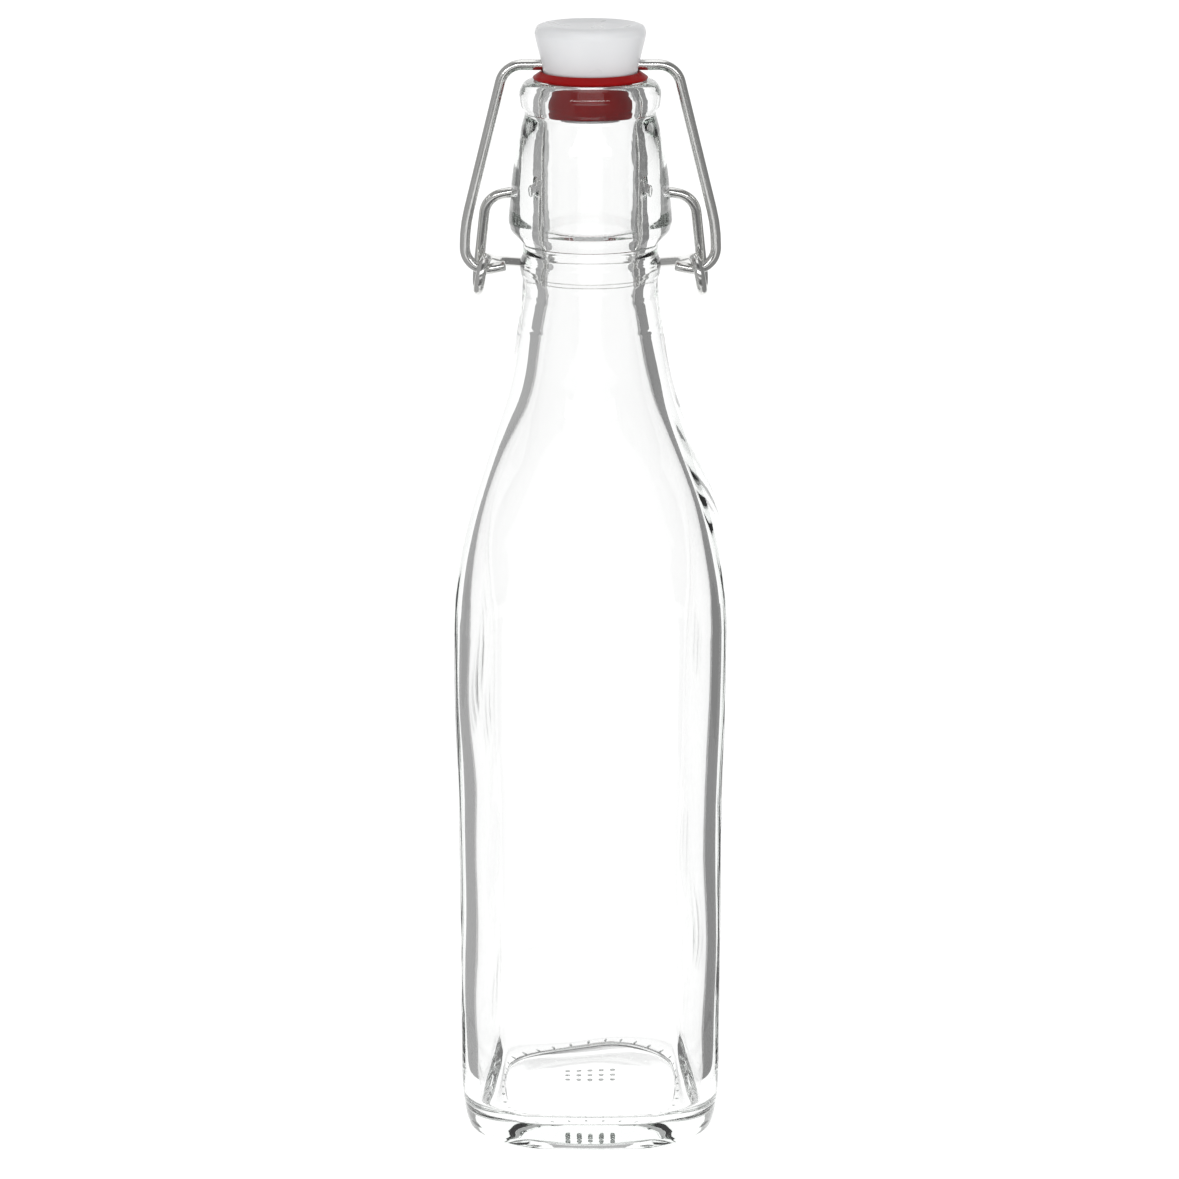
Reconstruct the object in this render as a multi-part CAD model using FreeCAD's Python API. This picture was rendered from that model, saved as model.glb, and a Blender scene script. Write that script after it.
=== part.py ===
import FreeCAD, Part
import math
import os

# Square half-litre bottle with a swing-top closure, in millimetres.
# The origin is the centre of the base, +Z is up, and the closure's thumb loop lies on the +Y side.

# Glass body: a square section with slightly bowed faces and rounded corners, flared a little at its top
BODY_HALF_WIDTH = 31.5
FLARED_HALF_WIDTH = 32.1
FLARE_START = 84.0
FLARE_END = 112.0
FLARE_STEPS = 7
BODY_CORNER_RADIUS = 11.0
FACE_BOW_RADIUS = 260.0
WALL = 3.4

# Base and heel
HEEL_RADIUS = 2.4
HEEL_TAPER_HEIGHT = 20.0
HEEL_TAPER_DEPTH = 1.7
HEEL_TAPER_STEPS = 5
BASE_EXTRA_CORNER = 8.0
FLOOR_HEIGHT = 6.0
FLOOR_FILLET = 6.0
FLOOR_EXTRA_CORNER = 10.0
PUSH_UP_RADIUS = 24.0
PUSH_UP_HEIGHT = 2.2
PUSH_UP_DOME_RADIUS = 170.0

# Shoulder: an outward arc, a straight slope and an inward arc, down to a gently tapering neck
SHOULDER_START = 134.0
SHOULDER_ARC_RADIUS = 66.1
SLOPE_ANGLE = math.radians(20.6)
SLOPE_END = 176.0
THROAT_ARC_RADIUS = 60.0
NECK_TAPER_ANGLE = math.radians(8.8)
ROUNDING_START = 128.0
ROUND_FROM = 194.0
NECK_JOIN = 201.0
NECK_WALL = 5.4
SHOULDER_STEPS = 12

# Neck and mouth
THROAT_BORE = 10.3
THROAT_HEIGHT = 206.0
MOUTH_BORE = 10.7
BORE_TAPER_END = 238.0
BEAD_RADIUS = 15.95
BEAD_HEIGHT = 208.8
BEAD_HALF_HEIGHT = 2.8
GROOVE_RADIUS = 15.4
GROOVE_TOP = 213.6
UNDERCUT_MIDDLE = (15.9, 215.4)
UNDERCUT_END = (17.3, 217.2)
BULGE_EDGE = (18.15, 218.0)
BULGE_RADIUS = 18.4
BULGE_HEIGHT = 219.0
CONE_MIDDLE = (17.7, 230.0)
NOTCH_RADIUS = 14.85
NOTCH_HEIGHT = 243.4
RING_UNDERSIDE = (15.6, 245.4)
RING_RADIUS = 15.85
RING_HEIGHT = 247.8
RING_SHOULDER = (15.0, 250.1)
RIM_FLAT_RADIUS = 12.8
RIM_HEIGHT = 251.0
LIP_RADIUS = 2.0

# Closure wires and their three axes, all parallel to X
WIRE_RADIUS = 1.2
PIVOT_Z = 225.7
HOOK_Y = -1.0
HOOK_Z = 208.1
CROSSBAR_Z = 254.3
HINGE_CLEARANCE = 0.06

# Dimples in the neck that hold the ends of the lever wire
DIMPLE_BOTTOM_X = 12.7
DIMPLE_CONE_X = 16.2
DIMPLE_MOUTH_X = 19.0
DIMPLE_MOUTH_RADIUS = 3.0

# Lever wire
LEVER_END_X = 13.0
LEVER_JOG_X = 18.0
LEVER_JOG_RADIUS = 7.0
LEVER_SHOULDER = (23.6, 224.6)
LEVER_BEND_RADIUS = 5.0
EYE_RADIUS = 3.6
EYE_BEND_RADIUS = 3.384
EYE_CENTRE_Z = 207.1
EYE_CORNERS = 7
EYE_LEAN_POWER = 2.5
EYE_OUTER_X = 25.75
EYE_INNER_X = 23.1
LOOP_SLOPE = math.radians(14.0)
LOOP_SIDE = (22.0, 9.5)
LOOP_CORNER = (12.5, 23.4)
LOOP_RADIUS = 12.0

# Bail wire
BAIL_TOP_CORNER_X = 19.2
BAIL_ARM_X = 28.5
BAIL_ARM_BEND_Z = 217.7
BAIL_HOOK_CORNER_Z = 207.05
BAIL_END = (19.3, 209.0)
BAIL_TOP_RADIUS = 5.0
BAIL_ARM_RADIUS = 34.0
BAIL_HOOK_RADIUS = 4.9

# Stopper: the stem's end, the flared head and its dished top
STEM_RADIUS = 5.0
STEM_BOTTOM = 241.5
STEM_FLAT_RADIUS = 4.6
STEM_LIP_MIDDLE = (5.9, 242.1)
STEM_LIP_RADIUS = 6.5
STEM_LIP_HEIGHT = 243.4
SEAT_HEIGHT = 252.45
HEAD_FOOT_RADIUS = 10.65
HEAD_RADIUS = 12.45
HEAD_WIDEST_HEIGHT = 261.0
HEAD_EDGE = (12.0, 262.7)
HEAD_CREST_RADIUS = 10.4
HEAD_TOP = 263.4
DISH_SLOPE = (8.8, 263.15)
DISH_EDGE = (7.4, 262.75)
DISH_BOTTOM = 262.4

# Gasket: the plug in the bore and the flange on the lip
PLUG_RADIUS = 9.4
PLUG_BOTTOM = 244.2
PLUG_FLAT_RADIUS = 7.4
PLUG_EDGE = (8.81, 244.79)
PLUG_EDGE_TOP = 246.2
PLUG_TOP = 250.2
FLANGE_INNER_RADIUS = 10.3
FLANGE_UNDER_RADIUS = 12.6
FLANGE_RADIUS = 12.95
FLANGE_EDGE_HEIGHT = 251.6
COLLAR_GAP = 0.3
COLLAR_RISE = 0.5
COLLAR_FOOT_GAP = 0.15
SEAL_GAP = 0.15
FIT = 0.1

UP = FreeCAD.Vector(0, 0, 1)
ACROSS = FreeCAD.Vector(1, 0, 0)


class Outline:
    """Half outline in the XZ plane that turns into a solid of revolution about Z."""

    def __init__(self, radius, height):
        """Start at a radius and height."""
        self.first = self.point = FreeCAD.Vector(radius, 0, height)
        self.edges = []

    def line(self, radius, height):
        """Add a straight edge to a radius and height."""
        end = FreeCAD.Vector(radius, 0, height)
        self.edges.append(Part.LineSegment(self.point, end).toShape())
        self.point = end
        return self

    def arc(self, middle, end):
        """Add an arc through a middle point to an end point, each (radius, height)."""
        through = FreeCAD.Vector(middle[0], 0, middle[1])
        stop = FreeCAD.Vector(end[0], 0, end[1])
        self.edges.append(Part.Arc(self.point, through, stop).toShape())
        self.point = stop
        return self

    def turned(self):
        """Close the outline and turn it a full circle."""
        self.line(self.first.x, self.first.z)
        face = Part.Face(Part.Wire(self.edges))
        return face.revolve(FreeCAD.Vector(), UP, 360)


def square_section(height, half_width, corner_radius, face_radius):
    """Closed wire of four bowed faces and four corner arcs, all tangent to each other."""
    bow = face_radius - half_width
    reach = face_radius - corner_radius
    corner = (math.sqrt(max(2 * reach**2 - bow**2, 0.0)) - bow) / 2
    split = math.radians(22.5)
    if bow > 1e-6:
        split = math.atan2(corner, corner + bow)

    def spot(centre_x, centre_y, radius, angle):
        return FreeCAD.Vector(
            centre_x + radius * math.cos(angle), centre_y + radius * math.sin(angle), height)

    face = Part.Arc(*[spot(-bow, 0, face_radius, a) for a in (-split, 0, split)]).toShape()
    bend = [spot(corner, corner, corner_radius, a)
            for a in (split, math.pi / 4, math.pi / 2 - split)]
    quarter = [face, Part.Arc(*bend).toShape()]
    edges = []
    for turn in range(4):
        for edge in quarter:
            edges.append(edge.rotated(FreeCAD.Vector(), UP, 90 * turn))
    return Part.Wire(edges)


def eased(height, start, end):
    """Share of the way from one height to another, with a level start and end."""
    share = min(max((height - start) / (end - start), 0.0), 1.0)
    return share * share * (3 - 2 * share)


def body_half_width(height):
    """Half-width of the body's outside, which flares a little below the shoulder."""
    flare = FLARED_HALF_WIDTH - BODY_HALF_WIDTH
    return BODY_HALF_WIDTH + flare * eased(height, FLARE_START, FLARE_END)


def shoulder_half_width(height):
    """Half-width of the outside from the body through the shoulder to the neck."""
    arc_end = SHOULDER_START + SHOULDER_ARC_RADIUS * math.sin(SLOPE_ANGLE)
    arc_drop = SHOULDER_ARC_RADIUS * (1 - math.cos(SLOPE_ANGLE))
    slope_drop = (SLOPE_END - arc_end) * math.tan(SLOPE_ANGLE)
    throat_rise = THROAT_ARC_RADIUS * (math.sin(SLOPE_ANGLE) - math.sin(NECK_TAPER_ANGLE))
    throat_end = SLOPE_END + throat_rise
    if height <= SHOULDER_START:
        return body_half_width(height)
    if height <= arc_end:
        rise = height - SHOULDER_START
        return FLARED_HALF_WIDTH - SHOULDER_ARC_RADIUS + math.sqrt(SHOULDER_ARC_RADIUS**2 - rise**2)
    if height <= SLOPE_END:
        return FLARED_HALF_WIDTH - arc_drop - (height - arc_end) * math.tan(SLOPE_ANGLE)
    slope_foot = FLARED_HALF_WIDTH - arc_drop - slope_drop
    centre = slope_foot + THROAT_ARC_RADIUS * math.cos(SLOPE_ANGLE)
    swing = math.sin(SLOPE_ANGLE) - (min(height, throat_end) - SLOPE_END) / THROAT_ARC_RADIUS
    throat = centre - THROAT_ARC_RADIUS * math.sqrt(1 - swing**2)
    return throat - max(height - throat_end, 0.0) * math.tan(NECK_TAPER_ANGLE)


def roundness(height):
    """How far the section has gone from square, 0, to round, 1."""
    return eased(height, ROUNDING_START, ROUND_FROM)


def heel_share(height):
    """Share of the heel's taper that is left at a height, 1 at the base and 0 above the heel."""
    return max(1 - height / HEEL_TAPER_HEIGHT, 0.0) ** 2


def outer_half_width(height):
    """Half-width of the outside without the rounded bottom edge."""
    return shoulder_half_width(height) - HEEL_TAPER_DEPTH * heel_share(height)


def section_at(height, half_width, corner_radius):
    """Section that goes from square to round as the shoulder narrows."""
    share = roundness(height)
    corner = corner_radius * (1 - share) + half_width * share
    bow = 1 / ((1 - share) / FACE_BOW_RADIUS + share / half_width)
    return square_section(height, half_width, corner, bow)


def edge_heights(start, radius):
    """Heights along a quarter-round edge that starts level, with how far each is set in."""
    steps = [math.radians(a) for a in (0, 20, 40, 60, 90)]
    return [(start + radius * (1 - math.cos(a)), radius * (1 - math.sin(a))) for a in steps]


def spread(start, end, count):
    """Evenly spaced heights, both ends included."""
    return [start + (end - start) * i / (count - 1) for i in range(count)]


def stacked(section, edge, edge_top):
    """Solid through sections: a rounded bottom edge, the heel, the sides and the shoulder."""
    stages = [
        [section(height, set_in) for height, set_in in edge],
        [section(height) for height in spread(edge_top, HEEL_TAPER_HEIGHT, HEEL_TAPER_STEPS)],
        [section(height) for height in (HEEL_TAPER_HEIGHT, FLARE_START)],
        [section(height) for height in spread(FLARE_START, FLARE_END, FLARE_STEPS)],
        [section(height) for height in (FLARE_END, ROUNDING_START)],
        [section(height) for height in spread(ROUNDING_START, NECK_JOIN, SHOULDER_STEPS)],
    ]
    return fused([Part.makeLoft(wires, True) for wires in stages])


def outer_body():
    """Solid of the outside, from the base to the neck."""
    def section(height, set_in=0.0):
        corner = BODY_CORNER_RADIUS + BASE_EXTRA_CORNER * heel_share(height)
        return section_at(height, outer_half_width(height) - set_in, corner)

    return stacked(section, edge_heights(0.0, HEEL_RADIUS), HEEL_RADIUS)


def wall_thickness(height):
    """Glass thickness, which grows from the body to the neck."""
    share = (height - ROUNDING_START) / (NECK_JOIN - ROUNDING_START)
    return WALL + (NECK_WALL - WALL) * min(max(share, 0.0), 1.0)


def inner_body():
    """Solid of the hollow, from the floor to the neck."""
    def section(height, set_in=0.0):
        half_width = outer_half_width(height) - wall_thickness(height) - set_in
        corner = BODY_CORNER_RADIUS - WALL / 2 + FLOOR_EXTRA_CORNER * heel_share(height)
        return section_at(height, half_width, corner)

    return stacked(section, edge_heights(FLOOR_HEIGHT, FLOOR_FILLET), FLOOR_HEIGHT + FLOOR_FILLET)


def fused(solids):
    """One solid from a list of solids that share faces."""
    return solids[0].multiFuse(solids[1:])


def neck_outside():
    """Solid of the neck: bead, groove, bulge, cone and mouth ring."""
    outline = Outline(0, NECK_JOIN)
    outline.line(shoulder_half_width(NECK_JOIN), NECK_JOIN)
    outline.line(GROOVE_RADIUS, BEAD_HEIGHT - BEAD_HALF_HEIGHT)
    outline.arc((BEAD_RADIUS, BEAD_HEIGHT), (GROOVE_RADIUS, BEAD_HEIGHT + BEAD_HALF_HEIGHT))
    outline.line(GROOVE_RADIUS, GROOVE_TOP)
    outline.arc(UNDERCUT_MIDDLE, UNDERCUT_END)
    outline.arc(BULGE_EDGE, (BULGE_RADIUS, BULGE_HEIGHT))
    outline.arc(CONE_MIDDLE, (NOTCH_RADIUS, NOTCH_HEIGHT))
    outline.arc(RING_UNDERSIDE, (RING_RADIUS, RING_HEIGHT))
    outline.arc(RING_SHOULDER, (RIM_FLAT_RADIUS, RIM_HEIGHT))
    outline.line(0, RIM_HEIGHT)
    return outline.turned()


def neck_hollow():
    """Solid of the bore, which opens at the rounded lip."""
    lip_centre = MOUTH_BORE + LIP_RADIUS
    lip_45 = LIP_RADIUS * math.sqrt(0.5)
    above = RIM_HEIGHT + 2
    outline = Outline(0, NECK_JOIN)
    outline.line(shoulder_half_width(NECK_JOIN) - NECK_WALL, NECK_JOIN)
    outline.line(THROAT_BORE, THROAT_HEIGHT)
    outline.line(MOUTH_BORE, BORE_TAPER_END)
    outline.line(MOUTH_BORE, RIM_HEIGHT - LIP_RADIUS)
    outline.arc((lip_centre - lip_45, RIM_HEIGHT - LIP_RADIUS + lip_45), (lip_centre, RIM_HEIGHT))
    outline.line(lip_centre, above)
    outline.line(0, above)
    return outline.turned()


def push_up():
    """Shallow dome under the base, inside the ring that the bottle stands on."""
    block = Part.makeCylinder(PUSH_UP_RADIUS, PUSH_UP_HEIGHT + 2, FreeCAD.Vector(0, 0, -1))
    dome_centre = FreeCAD.Vector(0, 0, PUSH_UP_HEIGHT - PUSH_UP_DOME_RADIUS)
    return block.common(Part.makeSphere(PUSH_UP_DOME_RADIUS, dome_centre))


def dimple(side):
    """Recess for one end of the lever wire: a short bore that opens in a cone."""
    bore = WIRE_RADIUS + HINGE_CLEARANCE
    start = FreeCAD.Vector(side * DIMPLE_BOTTOM_X, 0, PIVOT_Z)
    cone_start = FreeCAD.Vector(side * DIMPLE_CONE_X, 0, PIVOT_Z)
    hole = Part.makeCylinder(bore, DIMPLE_CONE_X - DIMPLE_BOTTOM_X, start, ACROSS * side)
    cone = Part.makeCone(
        bore, DIMPLE_MOUTH_RADIUS, DIMPLE_MOUTH_X - DIMPLE_CONE_X, cone_start, ACROSS * side)
    return hole.fuse(cone)


def glass_bottle():
    """The bottle in one piece of glass."""
    outside = fused([outer_body(), neck_outside()])
    hollow = fused([inner_body(), neck_hollow()])
    bottle = outside.cut(hollow).cut(push_up())
    return bottle.cut(dimple(1)).cut(dimple(-1))


def rounded_path(points, radii):
    """Straight runs joined by tangent arcs, one radius for each point between the ends."""
    edges = []
    start = points[0]
    for before, corner, after, radius in zip(points, points[1:], points[2:], radii):
        inward = (corner - before).normalize()
        outward = (after - corner).normalize()
        half_turn = inward.getAngle(outward) / 2
        setback = radius * math.tan(half_turn)
        rise = radius / math.cos(half_turn) - radius
        arc_start = corner - inward * setback
        arc_end = corner + outward * setback
        arc_middle = corner + (outward - inward).normalize() * rise
        edges.append(Part.LineSegment(start, arc_start).toShape())
        edges.append(Part.Arc(arc_start, arc_middle, arc_end).toShape())
        start = arc_end
    edges.append(Part.LineSegment(start, points[-1]).toShape())
    return Part.Wire(edges)


def mirrored_path(points, radii):
    """Path of a wire that is the same on both sides of the YZ plane, given its +X half."""
    other = [FreeCAD.Vector(-p.x, p.y, p.z) for p in reversed(points)]
    return rounded_path(points + other, radii + radii[::-1])


def round_wire(path):
    """Solid round wire along a path."""
    start = path.Vertexes[0].Point
    direction = path.Edges[0].tangentAt(path.Edges[0].FirstParameter)
    ring = Part.Wire([Part.Circle(start, direction, WIRE_RADIUS).toShape()])
    return path.makePipeShell([ring], True, False)


def eye_points(arrival, departure):
    """Corners of the eye's turn, from the arm's angle on to the thumb loop's slope."""
    turn = arrival - departure + 2 * math.pi
    step = turn / EYE_CORNERS
    corner_radius = EYE_RADIUS / math.cos(step / 2)
    points = []
    for index in range(EYE_CORNERS):
        share = (index + 0.5) / EYE_CORNERS
        angle = arrival + math.pi / 2 - turn * share
        across = EYE_OUTER_X - (EYE_OUTER_X - EYE_INNER_X) * share**EYE_LEAN_POWER
        points.append(FreeCAD.Vector(
            across,
            HOOK_Y + corner_radius * math.cos(angle),
            EYE_CENTRE_Z + corner_radius * math.sin(angle)))
    return points


def lever_wire():
    """Lever with its two eyes and the thumb loop that passes behind the neck."""
    shoulder = FreeCAD.Vector(LEVER_SHOULDER[0], 0, LEVER_SHOULDER[1])
    away = math.hypot(HOOK_Y, shoulder.z - EYE_CENTRE_Z)
    arrival = math.atan2(EYE_CENTRE_Z - shoulder.z, HOOK_Y) + math.asin(EYE_RADIUS / away)
    eye = eye_points(arrival, -LOOP_SLOPE)
    top_y = HOOK_Y + EYE_RADIUS * math.sin(LOOP_SLOPE)
    top_z = EYE_CENTRE_Z + EYE_RADIUS * math.cos(LOOP_SLOPE)

    def loop_point(across, back):
        return FreeCAD.Vector(across, back, top_z - (back - top_y) * math.tan(LOOP_SLOPE))

    points = [
        FreeCAD.Vector(LEVER_END_X, 0, PIVOT_Z),
        FreeCAD.Vector(LEVER_JOG_X, 0, PIVOT_Z),
        shoulder,
        *eye,
        loop_point(*LOOP_SIDE),
        loop_point(*LOOP_CORNER),
    ]
    radii = [LEVER_JOG_RADIUS, LEVER_BEND_RADIUS] + [EYE_BEND_RADIUS] * EYE_CORNERS
    radii += [LOOP_RADIUS, LOOP_RADIUS]
    return round_wire(mirrored_path(points, radii))


def bail_wire():
    """Bail through the stopper, with a hook at the foot of each arm."""
    lean = math.atan2(-HOOK_Y, CROSSBAR_Z - HOOK_Z)

    def on_plane(across, height):
        return FreeCAD.Vector(across, HOOK_Y + (height - HOOK_Z) * math.tan(lean), height)

    points = [
        on_plane(*BAIL_END),
        on_plane(BAIL_ARM_X, BAIL_HOOK_CORNER_Z),
        on_plane(BAIL_ARM_X, BAIL_ARM_BEND_Z),
        on_plane(BAIL_TOP_CORNER_X, CROSSBAR_Z),
    ]
    radii = [BAIL_HOOK_RADIUS, BAIL_ARM_RADIUS, BAIL_TOP_RADIUS]
    return round_wire(mirrored_path(points, radii))


def stopper():
    """Moulded head with a dished top, and the stem that the gasket is stretched over."""
    outline = Outline(0, STEM_BOTTOM)
    outline.line(STEM_FLAT_RADIUS, STEM_BOTTOM)
    outline.arc(STEM_LIP_MIDDLE, (STEM_LIP_RADIUS, STEM_LIP_HEIGHT))
    outline.line(STEM_LIP_RADIUS, PLUG_BOTTOM - FIT)
    outline.line(STEM_RADIUS, PLUG_BOTTOM - FIT)
    outline.line(STEM_RADIUS, SEAT_HEIGHT)
    outline.line(HEAD_FOOT_RADIUS, SEAT_HEIGHT)
    outline.line(HEAD_RADIUS, HEAD_WIDEST_HEIGHT)
    outline.arc(HEAD_EDGE, (HEAD_CREST_RADIUS, HEAD_TOP))
    outline.arc(DISH_SLOPE, DISH_EDGE)
    outline.line(0, DISH_BOTTOM)
    crossbar = FreeCAD.Vector(-HEAD_RADIUS - 1, 0, CROSSBAR_Z)
    hole = Part.makeCylinder(
        WIRE_RADIUS + HINGE_CLEARANCE, 2 * HEAD_RADIUS + 2, crossbar, ACROSS)
    return outline.turned().cut(hole)


def gasket():
    """Rubber ring: a plug for the bore under a bevelled flange that seals on the lip."""
    bore = STEM_RADIUS + FIT
    outline = Outline(bore, PLUG_BOTTOM)
    outline.line(PLUG_FLAT_RADIUS, PLUG_BOTTOM)
    outline.arc(PLUG_EDGE, (PLUG_RADIUS, PLUG_EDGE_TOP))
    outline.line(PLUG_RADIUS, PLUG_TOP)
    outline.line(FLANGE_INNER_RADIUS, RIM_HEIGHT + SEAL_GAP)
    outline.line(FLANGE_UNDER_RADIUS, RIM_HEIGHT + SEAL_GAP)
    outline.line(FLANGE_RADIUS, FLANGE_EDGE_HEIGHT)
    outline.line(HEAD_FOOT_RADIUS + COLLAR_GAP, SEAT_HEIGHT + COLLAR_RISE)
    outline.line(HEAD_FOOT_RADIUS + COLLAR_FOOT_GAP, SEAT_HEIGHT - FIT)
    outline.line(bore, SEAT_HEIGHT - FIT)
    return outline.turned()


NODES = {
    "glass_bottle": glass_bottle,
    "lever_wire": lever_wire,
    "bail_wire": bail_wire,
    "stopper": stopper,
    "gasket": gasket,
}

os.makedirs("parts", exist_ok=True)
for name, build in NODES.items():
    shape = build()
    shape.exportStep("parts/" + name + ".step")
    print(name, "valid", shape.isValid(), "solids", len(shape.Solids), "mm3", round(shape.Volume, 1))
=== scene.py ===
import logging
import math
from dataclasses import dataclass
from enum import Enum
from typing import Any, Callable, Iterable, Sequence

import bpy
import numpy as np
from bpy.types import Material, Node, NodeTree, Object
from mathutils import Matrix, Vector


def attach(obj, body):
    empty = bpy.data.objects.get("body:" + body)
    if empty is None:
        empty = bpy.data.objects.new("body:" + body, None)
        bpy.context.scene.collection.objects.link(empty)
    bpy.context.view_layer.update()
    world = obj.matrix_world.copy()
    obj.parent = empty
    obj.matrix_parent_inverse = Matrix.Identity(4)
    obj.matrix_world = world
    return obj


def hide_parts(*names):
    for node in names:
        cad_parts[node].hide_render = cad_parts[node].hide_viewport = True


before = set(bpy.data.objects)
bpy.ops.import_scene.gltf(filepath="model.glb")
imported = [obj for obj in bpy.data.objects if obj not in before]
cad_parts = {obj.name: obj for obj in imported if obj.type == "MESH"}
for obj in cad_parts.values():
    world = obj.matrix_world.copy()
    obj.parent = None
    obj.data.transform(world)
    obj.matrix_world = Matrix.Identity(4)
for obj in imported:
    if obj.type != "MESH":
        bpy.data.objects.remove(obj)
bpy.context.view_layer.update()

log = logging.getLogger("swing_top_bottle")

MM = 0.001
TAU = 2 * math.pi
NOISE_REACH = (0.3, 0.7)  # most of a noise lies between these

Pair = tuple[float, float]
Point = tuple[float, float, float]
Link = tuple[Any, str]


class Body(Enum):
    """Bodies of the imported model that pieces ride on."""

    BOTTLE = "bottle"
    LEVER = "lever"
    BAIL = "bail"
    STOPPER = "stopper"


class Slot(Enum):
    """Material slots of the record."""

    CLEAR_GLASS = "clear_glass"
    STEEL_WIRE = "steel_wire"
    WHITE_PLASTIC = "white_plastic"
    RED_RUBBER = "red_rubber"


# ---------------------------------------------------------------- materials


def linear(hex_colour: str) -> tuple[float, float, float, float]:
    """Turn an sRGB hex colour such as "#C8C8C4" into linear RGBA."""
    channels = [int(hex_colour[i:i + 2], 16) / 255 for i in (1, 3, 5)]
    red, green, blue = (c / 12.92 if c <= 0.04045 else ((c + 0.055) / 1.055) ** 2.4 for c in channels)
    return red, green, blue, 1.0


def add_node(tree: NodeTree, kind: str, links: dict[Any, Link] | None = None,
             values: dict[Any, Any] | None = None, **settings: Any) -> Node:
    """Add a node with its settings, socket values and incoming links.

    Args:
        tree: Node tree that gets the node.
        kind: Blender's type name of the node.
        links: Input name or number to (node, output name).
        values: Input name or number to a constant.
        settings: Properties of the node itself.

    Returns:
        The new node.
    """
    node = tree.nodes.new(kind)
    for name, value in settings.items():
        setattr(node, name, value)
    for socket, value in (values or {}).items():
        node.inputs[socket].default_value = value
    for socket, (source, output) in (links or {}).items():
        tree.links.new(source.outputs[output], node.inputs[socket])
    return node


def new_material(name: str) -> tuple[Material, NodeTree, Node]:
    """Make a material, and return it with its node tree and its only node, the output."""
    material = bpy.data.materials.new(name)
    material.use_nodes = True
    tree = material.node_tree
    tree.nodes.clear()
    return material, tree, tree.nodes.new("ShaderNodeOutputMaterial")


def add_noise(tree: NodeTree, place: Link, size: float, detail: float = 2.0,
              roughness: float = 0.5) -> Link:
    """Add a noise whose patches have about one size, in the units of the place that it reads."""
    node = add_node(
        tree, "ShaderNodeTexNoise", {"Vector": place},
        {"Scale": 1 / size, "Detail": detail, "Roughness": roughness})
    return node, "Fac"


def add_bump(tree: NodeTree, height: Link, strength: float, distance: float,
             under: Link | None = None) -> Link:
    """Add a relief, over another relief when one is given."""
    links = {"Height": height} if under is None else {"Height": height, "Normal": under}
    node = add_node(tree, "ShaderNodeBump", links, {"Strength": strength, "Distance": distance})
    return node, "Normal"


def add_surface(tree: NodeTree, output: Node, links: dict[Any, Link],
                values: dict[Any, Any]) -> None:
    """Add a Principled surface and join it to the output."""
    surface = add_node(tree, "ShaderNodeBsdfPrincipled", links, values)
    tree.links.new(surface.outputs["BSDF"], output.inputs["Surface"])


def add_drift(tree: NodeTree, noise: Link, colours: tuple[str, str],
              roughness: Pair) -> dict[Any, Link]:
    """Let colour and roughness drift together with a noise.

    Args:
        tree: Node tree of the material.
        noise: Noise that both follow.
        colours: sRGB hex colours where the noise is low and where it is high.
        roughness: Roughness where the noise is low and where it is high.

    Returns:
        Links for the colour and roughness of a Principled surface.
    """
    low, high = NOISE_REACH
    tone = add_node(
        tree, "ShaderNodeMixRGB", {"Fac": noise},
        {"Color1": linear(colours[0]), "Color2": linear(colours[1])})
    gloss = add_node(
        tree, "ShaderNodeMapRange", {"Value": noise},
        {"From Min": low, "From Max": high, "To Min": roughness[0], "To Max": roughness[1]})
    return {"Base Color": (tone, "Color"), "Roughness": (gloss, "Result")}


@dataclass(frozen=True)
class MouldedGlass:
    """Flint soda-lime glass blown in a mould: clear, with ripples that bend what is seen through it.

    The neck is pressed before the body is blown, so its skin is rougher than the body's.
    """

    tint: str = "#E4EFE7"
    ior: float = 1.52
    roughness: float = 0.0
    absorption: float = 5.0
    ripple_size: float = 14 * MM
    ripple_height: float = 0.05 * MM
    skin_size: float = 1.6 * MM
    skin_height: float = 0.018 * MM
    skin_stretch: Point = (1.0, 1.0, 0.3)
    body_share: float = 0.12
    neck_start: float = 190 * MM
    neck_full: float = 212 * MM

    def material(self) -> Material:
        """Build the glass with its faint green depth and its ripples."""
        material, tree, output = new_material("flint_glass_blown_in_mould")
        place = add_node(tree, "ShaderNodeTexCoord"), "Object"
        swell = add_bump(
            tree, add_noise(tree, place, self.ripple_size, 1.5, 0.4), 1.0, self.ripple_height)
        stretch = add_node(tree, "ShaderNodeMapping", {"Vector": place}, {"Scale": self.skin_stretch})
        skin = add_noise(tree, (stretch, "Vector"), self.skin_size)
        level = add_node(tree, "ShaderNodeSeparateXYZ", {"Vector": place})
        neck = add_node(
            tree, "ShaderNodeMapRange", {"Value": (level, "Z")},
            {"From Min": self.neck_start, "From Max": self.neck_full,
             "To Min": self.body_share, "To Max": 1.0})
        pressed = add_node(
            tree, "ShaderNodeMath", {0: skin, 1: (neck, "Result")}, operation="MULTIPLY")
        relief = add_bump(tree, (pressed, "Value"), 1.0, self.skin_height, swell)
        add_surface(
            tree, output, {"Normal": relief},
            {"Base Color": (1.0, 1.0, 1.0, 1.0), "Roughness": self.roughness,
             "IOR": self.ior, "Transmission Weight": 1.0})
        depth = add_node(
            tree, "ShaderNodeVolumeAbsorption",
            values={"Color": linear(self.tint), "Density": self.absorption})
        tree.links.new(depth.outputs["Volume"], output.inputs["Volume"])
        return material


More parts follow.
